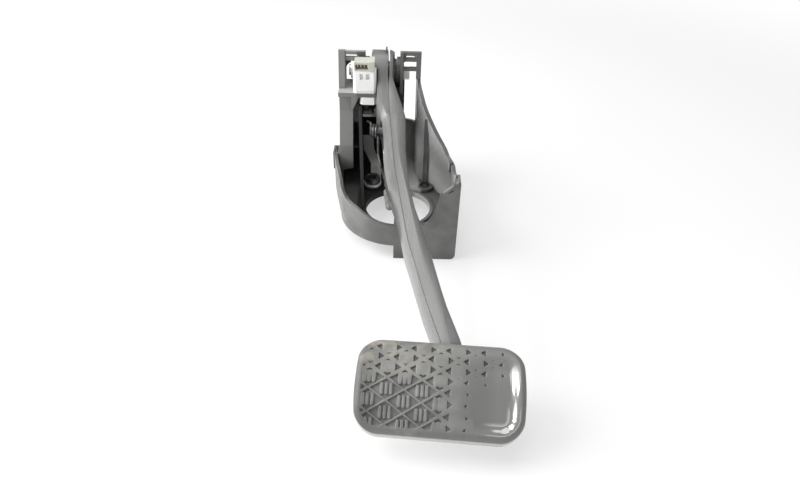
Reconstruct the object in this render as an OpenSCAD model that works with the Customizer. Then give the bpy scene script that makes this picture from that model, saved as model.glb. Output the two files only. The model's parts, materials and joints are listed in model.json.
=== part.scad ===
// Brake pedal assembly of a car with an automatic gearbox: a moulded plastic bracket that stands on
// its bulkhead face, a pressed steel arm on a pivot at the top, a wide rubber pad and a light switch.
// Origin: centre of the booster bore on the bulkhead face. X runs across the car, Y up the car and
// Z back from the bulkhead to the driver.

/* [Bulkhead face] */
// Bore for the neck of the brake booster
booster_bore_d = 61; // [56:0.5:62]
// Wall of the collar round the booster bore
collar_wall = 3; // [2:0.5:4]
// Height of the collar over the bulkhead face
collar_h = 6; // [5:0.5:9]
// Thickness of the bulkhead plate
plate_t = 4; // [3:0.5:5]
// Distance between booster studs across the car
stud_dx = 52; // [50:0.5:54]
// Distance between booster studs up the car
stud_dy = 72; // [70:0.5:74]
// Clear bore of each stud sleeve
stud_bore_d = 8.8; // [8.4:0.1:9.4]
// Wall of each steel sleeve
sleeve_wall = 1.5; // [1:0.1:1.8]
// Plastic wall round each stud sleeve
boss_wall = 2.6; // [2:0.2:3]
// Height of the stud bosses over the bulkhead face
stud_boss_h = 8; // [6:0.5:9]
// Depth of the feet below the bulkhead face
foot_drop = 14; // [10:1:18]

/* [Bracket] */
// Wall of the moulded bracket
wall_t = 3; // [2.4:0.2:3.6]
// Outer radius of the round skirt in front of the bore
band_r = 54; // [52:0.5:56]
// Height of the legs over the bulkhead face
leg_top_z = 131; // [129:0.5:134]
// Back face of the bracket
back_y = 103; // [102:0.5:106]
// Outer face of the left leg
left_leg_x = -58; // [-60:0.5:-57]
// Outer face of the right leg at its top
right_leg_x = 18.5; // [17:0.5:20]
// Outer face of the right wall at its foot
right_foot_x = 52.5; // [51:0.5:54]
// Height at which the right wall starts to flare, up the car
flare_top_y = 72; // [70:0.5:74]
// Length over which the right wall flares
flare_len = 64; // [60:1:68]
// Width of the flange along the rim of the right wall
rim_w = 4.8; // [4:0.2:6]
// Depth of that flange
rim_depth = 3; // [2:0.5:4]
// Top of the low part of the front panel
panel_low_z = 22; // [20:0.5:24]
// Top of the high part of the front panel
panel_high_z = 56.5; // [54:0.5:58]
// Spacing of the upper fixing bores
top_fix_dx = 54; // [50:1:56]
// Bore of the upper fixing sleeves
top_fix_d = 8.6; // [8.2:0.1:9.2]
// Length of the upper fixing bosses
top_fix_len = 34; // [28:1:40]

/* [Pivot] */
// Pivot height up the car
pivot_y = 80; // [79:0.25:81]
// Pivot distance from the bulkhead face
pivot_z = 108; // [107:0.25:109]
// Diameter of the pivot bolt
pivot_d = 10; // [9:0.5:11]
// Running clearance of the bushes on the bolt
run_gap = 0.05; // [0.02:0.01:0.1]
// Wall of the plastic bushes
bush_wall = 1.6; // [1.2:0.1:2]
// Thickness of the flange of each bush
bush_flange_t = 2; // [1.5:0.1:2.5]
// Wall of the steel tube through the arm
tube_wall = 2; // [1.5:0.1:2.5]
// Side play between a bush flange and the bracket
side_gap = 0.3; // [0.2:0.05:0.5]
// Radius of the pivot bosses on the bracket
pivot_boss_r = 13; // [11:0.5:14]

/* [Arm] */
// Distance from the booster bore down to the end of the arm
arm_reach = 241.5; // [232:0.5:260]
// Radius of the arm's hub
hub_r = 19; // [18:0.25:20]
// Thickness of the pressed sheet
sheet_t = 2.2; // [1.8:0.1:2.6]
// Left face of the hub
hub_left_x = -28; // [-28.5:0.25:-27.5]
// Right face of the hub
hub_right_x = -6.5; // [-7:0.25:-6]
// Gap along the seam of the two shells
seam_gap = 0.2; // [0.1:0.05:0.4]
// Open slot of the seam at the hub
seam_slot = 1.6; // [1:0.2:2.4]
// Bore for the pin of the booster push rod
pushrod_bore_d = 10; // [9:0.5:12]
// Length of the push rod bush
pushrod_bush_len = 20; // [19:0.5:22]

/* [Pad] */
// Width of the pad
pad_w = 109; // [100:1:114]
// Height of the pad along its chord
pad_h = 62; // [56:1:66]
// Radius of the pad's curved face
pad_r = 70; // [66:1:76]
// Radius of the pad's corners
pad_corner_r = 15; // [12:1:18]
// Rubber over the plate
rubber_t = 5.5; // [5:0.25:7]
// Thickness of the steel pad plate
pad_plate_t = 2.4; // [2:0.2:3]
// Rubber behind the plate
lip_t = 1.8; // [1.4:0.1:2.2]
// Width of the rubber lip behind the plate
lip_w = 6; // [4:0.5:8]
// Depth of the grooves of the tread
tread_depth = 1.2; // [0.8:0.1:1.6]

/* [Brake light switch] */
// Width of the switch body
switch_w = 21.2; // [20:0.2:21.2]
// Depth of the switch body
switch_d = 11.6; // [11:0.2:11.8]
// Height of the switch body over the shelf
switch_h = 21; // [19:0.5:23]
// Diameter of the plunger
plunger_d = 5; // [4:0.25:5.5]
// Gap between the plunger and the tab that it rests on
plunger_gap = 0.3; // [0.2:0.05:0.5]
// Thickness of the shelf
shelf_t = 4; // [3:0.5:4]

/* [Springs and small parts] */
// Wire of the return spring
wire_d = 2.2; // [1.8:0.1:2.6]
// Turns of the return spring
spring_turns = 2; // [1:1:3]
// Outer diameter of the sleeve on the long leg of the spring
spring_sleeve_d = 7; // [6:0.5:8]
// Thickness of the guide strip
strip_t = 1.5; // [1:0.1:2]
// Width of the guide strip
strip_w = 9.8; // [8:0.2:11]

/* [Hidden] */
$fn = 64;
eps = 0.01;
far = 400;

// Colours as the photograph shows them
plastic = [0.16, 0.16, 0.16];
paint = [0.30, 0.30, 0.29];
steel = [0.62, 0.63, 0.62];
white_plastic = [0.93, 0.93, 0.90];
grey_plastic = [0.74, 0.74, 0.71];
rubber = [0.20, 0.20, 0.19];

// Curves
function smooth01(t) = let (c = min(max(t, 0), 1)) c * c * (3 - 2 * c);
function blend(a, b, c, d, t) = (2 * b + (c - a) * t + (2 * a - 5 * b + 4 * c - d) * t * t
    + (3 * b - 3 * c + d - a) * t * t * t) / 2;
function spline(p, n) = concat([for (i = [0:len(p) - 2], k = [0:n - 1])
    blend(p[max(i - 1, 0)], p[i], p[i + 1], p[min(i + 2, len(p) - 1)], k / n)], [p[len(p) - 1]]);
function arc(c, r, a0, a1, n) = [for (i = [0:n]) let (a = a0 + (a1 - a0) * i / n)
    [c[0] + r * cos(a), c[1] + r * sin(a)]];
function unit(v) = v / norm(v);
function side(p, i) = let (a = p[max(i - 1, 0)], b = p[min(i + 1, len(p) - 1)], d = unit(b - a))
    [-d[1], d[0]];
function shifted(p, d) = [for (i = [0:len(p) - 1]) p[i] + side(p, i) * d];
function reversed(p) = [for (i = [len(p) - 1:-1:0]) p[i]];
function strip_outline(p, t) = concat(p, reversed(shifted(p, t)));

// A profile drawn in Y and Z, extruded along X between two places
module across(x0, x1) {
    translate([x0, 0, 0]) rotate([90, 0, 90]) linear_extrude(x1 - x0) children();
}
// A profile drawn in X and Z, extruded along Y between two places
module along(y0, y1) {
    translate([0, y1, 0]) rotate([90, 0, 0]) linear_extrude(y1 - y0) children();
}
// A straight rod or bore along X
module rod_x(x0, x1, y, z, r) {
    translate([x0, y, z]) rotate([0, 90, 0]) cylinder(h = x1 - x0, r = r);
}
module tube_x(x0, x1, y, z, r, bore) {
    difference() {
        rod_x(x0, x1, y, z, r);
        rod_x(x0 - 1, x1 + 1, y, z, bore);
    }
}

// Bracket sizes that follow from the others
stud_r = stud_bore_d / 2;
sleeve_r = stud_r + sleeve_wall;
stud_boss_r = sleeve_r + boss_wall;
studs = [for (sx = [-1, 1], sy = [-1, 1]) [sx * stud_dx / 2, sy * stud_dy / 2]];
guide_stud = [-stud_dx / 2, stud_dy / 2];
panel_left_x = -3;
flare = right_foot_x - right_leg_x;
function wall_x(y) = right_leg_x + flare * smooth01((flare_top_y - y) / flare_len);
right_inner_x = -1;
left_inner_x = -36;
left_inner_end = [-31.5, -4];
leg_front_y = 66;
back_top_z = leg_top_z - 12.5;
right_arch_z = 48;
head_frame_z = leg_top_z - 25;
leg_back_round = 14;
web_w = 13;
skirt_rim_z = 36;
skirt_out = 7;
skirt_end_y = 60;

// Plan of the right wall, from the front panel up to the back of the leg
right_wall = concat([[right_foot_x, -band_r]],
    [for (y = [flare_top_y - flare_len:4:flare_top_y]) [wall_x(y), y]],
    arc([right_leg_x - leg_back_round, back_y - leg_back_round], leg_back_round, 0, 90, 6),
    [[right_inner_x, back_y]]);
// Plan of the skirt from the front panel round to the left leg
skirt_band = arc([0, 0], band_r, 270 + asin(panel_left_x / band_r), 184, 20);
skirt_left = spline([skirt_band[20], [left_leg_x - 1.5, 22], [left_leg_x - skirt_out + 1, 46],
    [left_leg_x - skirt_out, skirt_end_y]], 3);
skirt = concat(skirt_band, skirt_left);
plate_outline = concat(skirt, [[left_leg_x, leg_front_y], [left_leg_x, back_y]],
    reversed(right_wall), [[panel_left_x, -band_r]]);

// Top edges as seen from the side: up the car, height over the bulkhead face
right_rim = spline([[71.2, leg_top_z], [71.5, 120], [73, 106.5], [62, 96], [54.2, 84.5], [44.5, 72],
    [36.5, 62.6], [28, 54.7], [19, 47], [-5, 47], [-35, 62], [-47, 63.8], [-band_r - 2, 63.8]], 3);
left_front = [[leg_front_y, leg_top_z + 1], [58, 100], [56, 77], [44, 46], [38, 10], [38, -1]];
// Rim of the skirt as seen from the front: across the car, height
skirt_rim = spline([[panel_left_x + 4, 21.4], [-11, 22.1], [-19.4, 23.7], [-27.8, 26.8],
    [-36, 30.2], [-45.8, 31], [-53.6, skirt_rim_z], [-band_r - 16, skirt_rim_z + 1]], 3);
panel_curve = [[24, panel_low_z], [30.5, 32.5], [34, 41.5], [35.4, 48.5], [36, panel_high_z]];

// Upper fixings
top_fix_x = [-18 - top_fix_dx / 2, -18 + top_fix_dx / 2];
top_fix_r = top_fix_d / 2;
top_boss_r = top_fix_r + sleeve_wall + boss_wall;
top_fix_y = back_y + top_boss_r - 1.5;
top_fix_z = 0;

// Shelf and switch places
switch_x = -33.2;
switch_y = 54;
plunger_x = -32;
shelf_z = 98.4;
shelf_front_y = 48;
shelf_right_x = switch_x + switch_w / 2;
neck_r = 4.7;
collar_depth = 7.4;
tab_z = pivot_z - 28;
plunger_tip_z = tab_z + plunger_gap;

// Pivot stack
pivot_r = pivot_d / 2;
bush_bore_r = pivot_r + run_gap;
bush_r = bush_bore_r + bush_wall;
tube_bore_r = bush_r + run_gap;
tube_r = tube_bore_r + tube_wall;
bush_flange_r = tube_r + 2.4;
boss_left_x = hub_left_x - bush_flange_t - side_gap;
boss_right_x = hub_right_x + bush_flange_t + side_gap;
bolt_head_t = 6;
bolt_head_af = 15;
nut_t = 7;
washer_t = 1.6;
washer_r = 9.5;

// Skirt, base and legs
module bulkhead_plate() {
    difference() {
        linear_extrude(plate_t) polygon(plate_outline);
        translate([38, -30, -1]) cube([8, 26, plate_t + 2]);
    }
    cylinder(h = collar_h, r = booster_bore_d / 2 + collar_wall);
    for (s = studs) translate([s[0], s[1], 0]) cylinder(h = stud_boss_h, r = stud_boss_r);
}

module skirt_wall() {
    intersection() {
        linear_extrude(60) polygon(strip_outline(skirt, -wall_t));
        along(-far, far) polygon(concat([[panel_left_x + 4, -1]], skirt_rim,
            [[-band_r - 16, -1]]));
    }
}

module right_wall_shape() {
    intersection() {
        linear_extrude(leg_top_z) polygon(strip_outline(right_wall, wall_t));
        across(-far, far) polygon(concat(right_rim, [[-band_r - 2, -1], [back_y + 1, -1],
            [back_y + 1, leg_top_z + 1]]));
    }
    intersection() {
        linear_extrude(leg_top_z) polygon(strip_outline(right_wall, rim_w));
        across(-far, far) polygon(concat(right_rim,
            reversed([for (p = right_rim) p - [0, rim_depth]])));
        translate([-far, -far, 0]) cube([2 * far, far + flare_top_y - 4, far]);
    }
}

module left_wall_shape() {
    // Outer wall of the left leg
    intersection() {
        translate([left_leg_x, 0, 0]) cube([wall_t, back_y, leg_top_z]);
        across(-far, far) polygon(concat(left_front, [[back_y, -1], [back_y, leg_top_z + 1]]));
    }
    // Front web, turned inwards along the front edge of the leg
    difference() {
        across(left_leg_x, left_leg_x + web_w) polygon(concat(left_front,
            reversed([for (p = left_front) p + [wall_t, 0]])));
        along(0, 80) translate([left_leg_x + web_w, 3]) circle(r = 20);
        translate([left_leg_x + 6, 0, shelf_z - eps]) cube([far, far, far]);
    }
    // Inner wall, which reaches forward low down
    intersection() {
        linear_extrude(leg_top_z) polygon(strip_outline([left_inner_end, [left_inner_x, 45],
            [left_inner_x, back_y]], wall_t));
        across(-far, far) polygon([[-6, plate_t], [50, 85], [leg_front_y, 85],
            [leg_front_y, leg_top_z], [back_y, leg_top_z], [back_y, -1], [-6, -1]]);
    }
}

// The frame at the top of a leg: two posts and a double bar, with the open leg behind it
module leg_head(x0, x1, left_post, right_post) {
    post_depth = 4;
    bar_t = 3;
    translate([x0, leg_front_y, head_frame_z])
        cube([left_post, post_depth, leg_top_z - head_frame_z]);
    translate([x1 - right_post, leg_front_y, head_frame_z])
        cube([right_post, post_depth, leg_top_z - head_frame_z]);
    for (dz = [bar_t, 2 * bar_t + 2.6])
        translate([x0, leg_front_y, leg_top_z - dz]) cube([x1 - x0, post_depth, bar_t]);
}

module arch_cut(x0, x1, z0, z1) {
    r = (x1 - x0) / 2;
    along(back_y - wall_t - 14, back_y + 1) {
        translate([x0, z0]) square([x1 - x0, z1 - r - z0]);
        translate([x0 + r, z1 - r]) circle(r = r);
    }
}

module back_wall() {
    difference() {
        union() {
            translate([left_leg_x, back_y - wall_t, 0])
                cube([left_inner_x - left_leg_x, wall_t, leg_top_z - 6]);
            translate([left_inner_x - 1, back_y - wall_t, 0])
                cube([right_inner_x - left_inner_x + 2, wall_t, 92]);
        }
        arch_cut(left_leg_x + 3.5, left_leg_x + 18.5, 74, pivot_z);
        translate([left_leg_x + 3.5, back_y - 10, pivot_z + 2.8]) cube([11, 20, 4.5]);
    }
}

module front_foot() {
    foot_depth = 20;
    // Panel with its stepped and curved top edge
    along(-band_r, -band_r + wall_t) polygon(concat([[panel_left_x, -foot_drop]],
        arc([right_foot_x - 5, 5 - foot_drop], 5, 270, 360, 6),
        [[right_foot_x, panel_high_z]], reversed(panel_curve), [[panel_left_x, panel_low_z]]));
    // Left end and inner ribs run back to the collar, the right side follows the wall
    for (x = [panel_left_x, 15, 32])
        translate([x, -band_r, -foot_drop]) cube([wall_t, foot_depth, foot_drop + plate_t]);
    translate([panel_left_x, -band_r + wall_t - eps, 0])
        cube([wall_t, band_r - wall_t - booster_bore_d / 2 - 1, panel_low_z - 4]);
    translate([right_foot_x - wall_t - 0.4, -band_r, 5 - foot_drop])
        cube([wall_t + 0.4, foot_depth, foot_drop + 5]);
    translate([panel_left_x, -band_r + foot_depth - wall_t, -foot_drop])
        cube([right_foot_x - panel_left_x - 1, wall_t, foot_drop + 1]);
    // Gusset over the panel, and the lip with its slot at the corner
    along(-band_r, -band_r + wall_t)
        polygon([[36, panel_high_z - 2], [39.5, panel_high_z - 2], [50.5, 63.6], [50.5, 67.1]]);
    difference() {
        translate([right_foot_x - 6, -band_r, 40]) cube([6, 16, 25.5]);
        translate([right_foot_x - 4.4, -band_r + 2.5, 45]) cube([2.6, 11, far]);
        translate([right_foot_x - 7, -band_r + wall_t, 30]) cube([3, far, far]);
    }
    translate([right_foot_x - 6.5, -band_r, panel_high_z - 1]) rotate([-90, 0, 0])
        cylinder(h = wall_t, r = 2.4);
}

module rear_feet() {
    for (x = [left_leg_x, left_inner_x - wall_t, right_inner_x, right_leg_x - leg_back_round])
        translate([x, back_y - 26, -foot_drop]) cube([wall_t, 26, foot_drop + 1]);
    for (x = [left_leg_x, right_inner_x - 4])
        translate([x, back_y - wall_t, -foot_drop]) cube([22, wall_t, foot_drop + 1]);
}

module left_lip() {
    difference() {
        translate([left_leg_x - skirt_out, skirt_end_y - 16, 20]) cube([7.5, 16, 17.5]);
        translate([left_leg_x - skirt_out + 1.8, skirt_end_y - 13.5, 24]) cube([2.6, 11, far]);
    }
    translate([left_leg_x - skirt_out, skirt_end_y - wall_t, 0]) cube([skirt_out + 1, wall_t, 30]);
}

module shelf() {
    difference() {
        translate([left_leg_x, shelf_front_y, shelf_z - shelf_t])
            cube([shelf_right_x - left_leg_x, back_y - shelf_front_y - 22, shelf_t]);
        translate([plunger_x, switch_y, 0]) cylinder(h = far, r = neck_r + 0.2);
        translate([hub_left_x - 3, switch_y + 6.3, 0]) cube([far, far, far]);
    }
    along(shelf_front_y, shelf_front_y + wall_t)
        polygon([[left_leg_x + web_w - 1, shelf_z - shelf_t + eps],
            [left_leg_x + web_w - 1, shelf_z - 19], [switch_x - 5, shelf_z - shelf_t + eps]]);
}

module bracket_ribs() {
    // Rib inside the flared wall
    intersection() {
        linear_extrude(leg_top_z) polygon(plate_outline);
        across(right_leg_x + 5, right_leg_x + 9.5) polygon([[47.5, 74], [36, 9], [36, plate_t - 1], [62, plate_t - 1],
            [62, 66]]);
    }
    // Small half-round boss on the inside of the rim
    translate([right_foot_x - 4.5, 14, 38]) cylinder(h = 10, r = 2.2);
    // Stiffening tab on the round skirt
    rotate([0, 0, 203]) translate([band_r - wall_t - 2, -1.5, 0]) cube([3, 3, 29]);
    // Horizontal ribs in the left leg
    for (z = [34, 62])
        translate([left_leg_x + 1, 62, z]) cube([left_inner_x - left_leg_x - 3, back_y - 63, 2]);
    // Shelf of the rest buffer, on the back wall
    translate([left_inner_x - 1, back_y - 19, buffer_z - 4])
        cube([right_inner_x - left_inner_x + 2, 18, 4]);
}

module pivot_bosses() {
    rod_x(left_inner_x - 1, boss_left_x, pivot_y, pivot_z, pivot_boss_r);
    rod_x(boss_right_x, right_inner_x + 1, pivot_y, pivot_z, pivot_boss_r);
}

module top_fix_bosses(r) {
    for (x = top_fix_x) translate([x, top_fix_y, top_fix_z]) cylinder(h = top_fix_len, r = r);
}

module bracket() {
    color(plastic) difference() {
        union() {
            bulkhead_plate();
            skirt_wall();
            right_wall_shape();
            left_wall_shape();
            back_wall();
            // Inner wall of the right leg
            translate([right_inner_x, leg_front_y - 2, 0])
                cube([wall_t, back_y - leg_front_y + 1, leg_top_z]);
            leg_head(left_leg_x, left_inner_x + wall_t, 6, 6.5);
            leg_head(right_inner_x, right_leg_x, 3.5, 4.5);
            translate([right_inner_x, leg_front_y, 113.5])
                cube([right_leg_x - right_inner_x, 4, wall_t]);
            front_foot();
            rear_feet();
            left_lip();
            shelf();
            bracket_ribs();
            pivot_bosses();
            top_fix_bosses(top_boss_r);
        }
        translate([0, 0, -foot_drop - 1]) cylinder(h = far, r = booster_bore_d / 2);
        for (s = studs) translate([s[0], s[1], -foot_drop - 1]) cylinder(h = 80, r = sleeve_r);
        rod_x(left_inner_x - 10, right_inner_x + 10, pivot_y, pivot_z, pivot_r + 0.1);
        translate([0, 0, -1]) top_fix_bosses(top_fix_r + sleeve_wall);
        translate([0, 0, 1]) top_fix_bosses(top_fix_r + sleeve_wall);
        arch_cut(right_inner_x + wall_t + 1.5, right_leg_x - wall_t - 0.5, right_arch_z,
            back_top_z - 1.5);
        // The legs' tops slope down behind their front frames
        across(-far, far) polygon([[leg_front_y + 4, leg_top_z + eps], [back_y + 20, leg_top_z + eps],
            [back_y + 20, back_top_z], [back_y, back_top_z]]);
    }
}

// Steel sleeves and the guide strip
guide_stack = [stud_boss_h, stud_boss_h + 1.2, stud_boss_h + 1.2 + strip_t];
guide_ring_h = 6;

module stud_sleeves() {
    color(steel) for (s = studs) {
        long = s == guide_stud ? guide_stack[2] + guide_ring_h - 0.5 : stud_boss_h;
        translate([s[0], s[1], 0]) difference() {
            cylinder(h = long, r = sleeve_r);
            translate([0, 0, -1]) cylinder(h = long + 2, r = stud_r);
        }
    }
}

module top_sleeves() {
    color(steel) difference() {
        top_fix_bosses(top_fix_r + sleeve_wall);
        translate([0, 0, -1]) top_fix_bosses(top_fix_r);
        translate([0, 0, 1]) top_fix_bosses(top_fix_r);
    }
}

module at_guide(h) { translate([guide_stud[0], guide_stud[1], h]) children(); }

module guide_washer() {
    color(steel) at_guide(guide_stack[0]) difference() {
        cylinder(h = guide_stack[1] - guide_stack[0], r = stud_boss_r - 0.1);
        translate([0, 0, -1]) cylinder(h = 4, r = sleeve_r + 0.05);
    }
}

module guide_ring() {
    teeth = 14;
    color(steel) at_guide(guide_stack[2]) difference() {
        union() {
            cylinder(h = guide_ring_h, r = sleeve_r + 1.2);
            for (i = [0:teeth - 1]) rotate([0, 0, i * 360 / teeth])
                translate([sleeve_r + 0.6, -0.6, 0.5]) cube([1.3, 1.2, guide_ring_h - 1]);
        }
        translate([0, 0, -1]) cylinder(h = guide_ring_h + 2, r = sleeve_r + 0.05);
    }
}

// The strip: a ring foot on the stud sleeve and a tongue that stands up and jogs to the left
module guide_strip() {
    tongue_y = guide_stud[1] + sleeve_r + 3.6;
    foot_x = guide_stud[0] + 3;
    jog = -6.5;
    low_z = guide_stack[1] + 18;
    high_z = low_z + 15;
    top_z = high_z + 15;
    color(steel) difference() {
        union() {
            at_guide(guide_stack[1]) cylinder(h = strip_t, r = sleeve_r + 2.8);
            translate([foot_x - strip_w / 2, guide_stud[1], guide_stack[1]])
                cube([strip_w, tongue_y - guide_stud[1], strip_t]);
            along(tongue_y - strip_t, tongue_y) polygon([[foot_x - strip_w / 2, guide_stack[1]],
                [foot_x - strip_w / 2, low_z], [foot_x + jog - strip_w / 2, high_z],
                [foot_x + jog - strip_w / 2 - 1, top_z], [foot_x + jog + strip_w / 2 - 2, top_z],
                [foot_x + jog + strip_w / 2 - 0.5, top_z - 2], [foot_x + jog + strip_w / 2, high_z],
                [foot_x + strip_w / 2, low_z], [foot_x + strip_w / 2, guide_stack[1]]]);
        }
        at_guide(guide_stack[1] - 1) cylinder(h = strip_t + 2, r = sleeve_r + 0.05);
    }
}

// Pivot hardware and the stop that the heel of the arm rests on
buffer_z = 83;
buffer_gap = 0.3;
module pivot_bolt() {
    head_x = right_inner_x + wall_t;
    end_x = left_inner_x - wall_t - washer_t - nut_t - 2;
    color(steel) union() {
        rod_x(end_x, head_x + eps, pivot_y, pivot_z, pivot_r);
        translate([head_x, pivot_y, pivot_z]) rotate([0, 90, 0])
            cylinder(h = bolt_head_t, r = bolt_head_af / 2 / cos(30), $fn = 6);
    }
}

module pivot_washer() {
    x = left_inner_x - wall_t;
    color(steel) tube_x(x - washer_t, x, pivot_y, pivot_z, washer_r, pivot_r + 0.1);
}

module pivot_nut() {
    x = left_inner_x - wall_t - washer_t;
    color(steel) difference() {
        translate([x - nut_t, pivot_y, pivot_z]) rotate([0, 90, 0])
            cylinder(h = nut_t, r = bolt_head_af / 2 / cos(30), $fn = 6);
        rod_x(x - nut_t - 1, x + 1, pivot_y, pivot_z, pivot_r + 0.02);
    }
}

module pivot_bush(x_face, dir) {
    len = 8;
    color(plastic) translate([x_face, pivot_y, pivot_z]) rotate([0, 90 * dir, 0]) difference() {
        union() {
            translate([0, 0, -bush_flange_t]) cylinder(h = bush_flange_t, r = bush_flange_r);
            translate([0, 0, -eps]) cylinder(h = len, r = bush_r);
        }
        translate([0, 0, -bush_flange_t - 1]) cylinder(h = len + 4, r = bush_bore_r);
    }
}
module pivot_bush_left() { pivot_bush(hub_left_x, 1); }
module pivot_bush_right() { pivot_bush(hub_right_x, -1); }

module pivot_tube() {
    color(steel) tube_x(hub_left_x, hub_right_x, pivot_y, pivot_z, tube_r, tube_bore_r);
}

module rest_buffer() {
    color(rubber) translate([hub_left_x + 11, pivot_y + 10.4, buffer_z])
        cylinder(h = heel_z - cap_lap - buffer_gap - buffer_z, r = 3.4);
}

// Pressed arm: edges in plan, listed from the hub to the pad as [up the car, across the car]
// The plans are drawn at one reach, and the arm stretches below the neck to the reach that is set
drawn_reach = 241.5;
stretch_y = -52;
arm_end_y = -arm_reach;
neck_left_x = -21.6;
hub_seam_x = -12;
arm_right_edge = [[99, hub_right_x], [66, hub_right_x], [57, hub_right_x - 0.7], [46.5, -2.4],
    [34, 3.5], [29, 5.4], [8, 5.7], [-17, 6.1], [-52, 9], [-78, 14.1], [-114, 24.2], [-167, 36.6],
    [-196, 46], [-212, 50], [-242, 52]];
arm_left_edge = [[99, hub_left_x + 0.6], [66.5, hub_left_x + 0.6], [61, neck_left_x],
    [50, neck_left_x + 0.1], [42.5, neck_left_x + 0.3], [35.5, -15.8], [27, -11.8], [7.5, -8.5],
    [-40, -3.7], [-78.5, 2.1], [-114.5, 8.2], [-167, 21.3], [-196, 30.3], [-212, 34.5], [-242, 38]];
arm_seam = [[99, hub_seam_x], [46.5, -11.2], [14, -7.8], [-40, -2.9], [-78.5, 3.5], [-114, 8.9],
    [-167, 22], [-196, 31], [-212, 35.2], [-242, 38.8]];
arm_bevel_w = [[99, 0.6], [50, 0.6], [42, 1], [30, 4.5], [-28, 7.4], [-54, 6], [-82, 1.8],
    [-242, 1.4]];
arm_bevel_h = [[99, 2.5], [60, 3], [30, 6], [-28, 10], [-180, 9], [-242, 5]];
arm_low_edge = [[94, 89], [84, 89], [10, 48], [-40, 45.5], [-60, 43], [-190, 14.5], [-215, 9],
    [-242, 9.5]];
crease_y = 30;
crease_z = 88;
arm_slope = 0.2467;
head_end_y = 67.2;
heel_z = 89;
heel_y = pivot_y + 14;
end_y = 95.5;
cap_lap = 0.12;
function reach_y(y) = y > stretch_y ? y
    : stretch_y + (y - stretch_y) * (arm_reach + stretch_y) / (drawn_reach + stretch_y);
function hub_top(y) = pivot_z + sqrt(hub_r * hub_r - (y - pivot_y) * (y - pivot_y));
function arm_top(y) = y > head_end_y ? hub_top(y) : y > crease_y
    ? crease_z + (y - crease_y) * (hub_top(head_end_y) - crease_z) / (head_end_y - crease_y)
    : crease_z + (y - crease_y) * arm_slope;
function arm_low(y) = y > heel_y ? heel_z + (y - heel_y) * (pivot_z - heel_z) / (hub_r - 14)
    : lookup(y, arm_low_edge);
function seam_half(y) = (seam_gap + (seam_slot - seam_gap) * smooth01((y - 50) / 10)) / 2;
arm_stations = concat([end_y], [for (a = [50:-10:-40]) pivot_y + hub_r * sin(a)],
    [66.5, 61, 57, 52, 47, 43, 39, 36, 33, crease_y, 26, 18, 8, -4, -16, -28, -40, -53, -66, -78, -90,
    -102, -114, -128, -142, -156, -170, -183, -196, -204, -212, -222, -232, -242]);

function left_section(y) = let (t = sheet_t, xs = lookup(y, arm_seam) - seam_half(y),
    xt = min(lookup(y, arm_left_edge), xs - 0.3), xo = xt - lookup(y, arm_bevel_w),
    zt = arm_top(y), zl = arm_low(y), zk = zt - lookup(y, arm_bevel_h),
    c = min(2.5, (xs - xo) * 0.4), xi = xo + min(t, (xs - xo) * 0.6), v = reach_y(y))
    [[xs, v, zt], [xt, v, zt], [xo, v, zk], [xo, v, zl + c], [xo + c, v, zl], [xs, v, zl],
    [xs, v, zl + t], [min(xi + c / 2, xs - 0.1), v, zl + t], [xi, v, zl + c / 2 + t],
    [xi, v, zk - t / 2], [max(xi + 0.05, min(xt + t, xs - 0.1)), v, zt - t], [xs, v, zt - t]];
function right_section(y) = let (t = sheet_t, xs = lookup(y, arm_seam) + seam_half(y),
    xo = max(lookup(y, arm_right_edge), xs + t + 0.8), r = min(3.5, xo - xs - 0.4),
    zt = arm_top(y), zl = arm_low(y), c = min(2.5, xo - xs - 0.4), s = 0.293, v = reach_y(y))
    [[xs, v, zl], [xo - c, v, zl], [xo, v, zl + c], [xo, v, zt - r], [xo - r * s, v, zt - r * s],
    [xo - r, v, zt], [xs, v, zt], [xs, v, zt - t], [xo - r - 0.2, v, zt - t],
    [xo - t, v, zt - r - 0.2], [xo - t, v, zl + c + 0.6], [xo - c - 0.6, v, zl + t],
    [xs, v, zl + t]];

// A solid through a row of sections with the same number of points each
module loft(sections) {
    n = len(sections[0]);
    m = len(sections);
    polyhedron(points = [for (s = sections, p = s) p],
        faces = concat([[for (i = [0:n - 1]) i]], [[for (i = [n - 1:-1:0]) (m - 1) * n + i]],
            [for (k = [0:m - 2], i = [0:n - 1]) each let (a = k * n + i, b = k * n + (i + 1) % n)
                [[a, a + n, b], [b, a + n, b + n]]]));
}

// The closed end of the hub behind the last section, a D shape set out or in by d
function hub_end(d) = concat([[end_y - 2, heel_z - d], [heel_y, heel_z - d]],
    arc([pivot_y, pivot_z], hub_r + d, 0, acos((end_y - 2 - pivot_y) / (hub_r + d)), 6));
module hub_cap(lap, x0, x1, x2, x3) {
    difference() {
        across(x0, x1) polygon(hub_end(lap));
        across(x2, x3) polygon(hub_end(-sheet_t - lap));
    }
}

module arm_bores() {
    rod_x(-far, far, pivot_y, pivot_z, tube_r + run_gap);
    rod_x(-far, far, pushrod_y, pushrod_z, pushrod_r + sleeve_wall + run_gap);
}

// Everything above the back of the pad plate, cut off the end of the arm
module pad_room() {
    difference() {
        translate([-far / 2, arm_end_y + 36.5 - far, -far / 2]) cube([far, far, far]);
        rod_x(-far, far, pad_axis[0], pad_axis[1], pad_r - rubber_t - pad_plate_t);
    }
    translate([-far / 2, arm_end_y - far, -far / 2]) cube([far, far, far]);
}

module arm_left_shell() {
    edge_x = hub_seam_x - seam_slot / 2;
    color(paint) difference() {
        union() {
            difference() {
                loft([for (y = arm_stations) left_section(y)]);
                pad_room();
            }
            hub_cap(cap_lap, hub_left_x - cap_lap, edge_x + 0.25,
                hub_left_x + sheet_t + cap_lap, 0);
            // Small fin of the seam on top of the hub
            translate([edge_x - 1.8, 76, pivot_z + hub_r - 1.5]) cube([1.5, 3, 6]);
        }
        arm_bores();
    }
}

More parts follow.
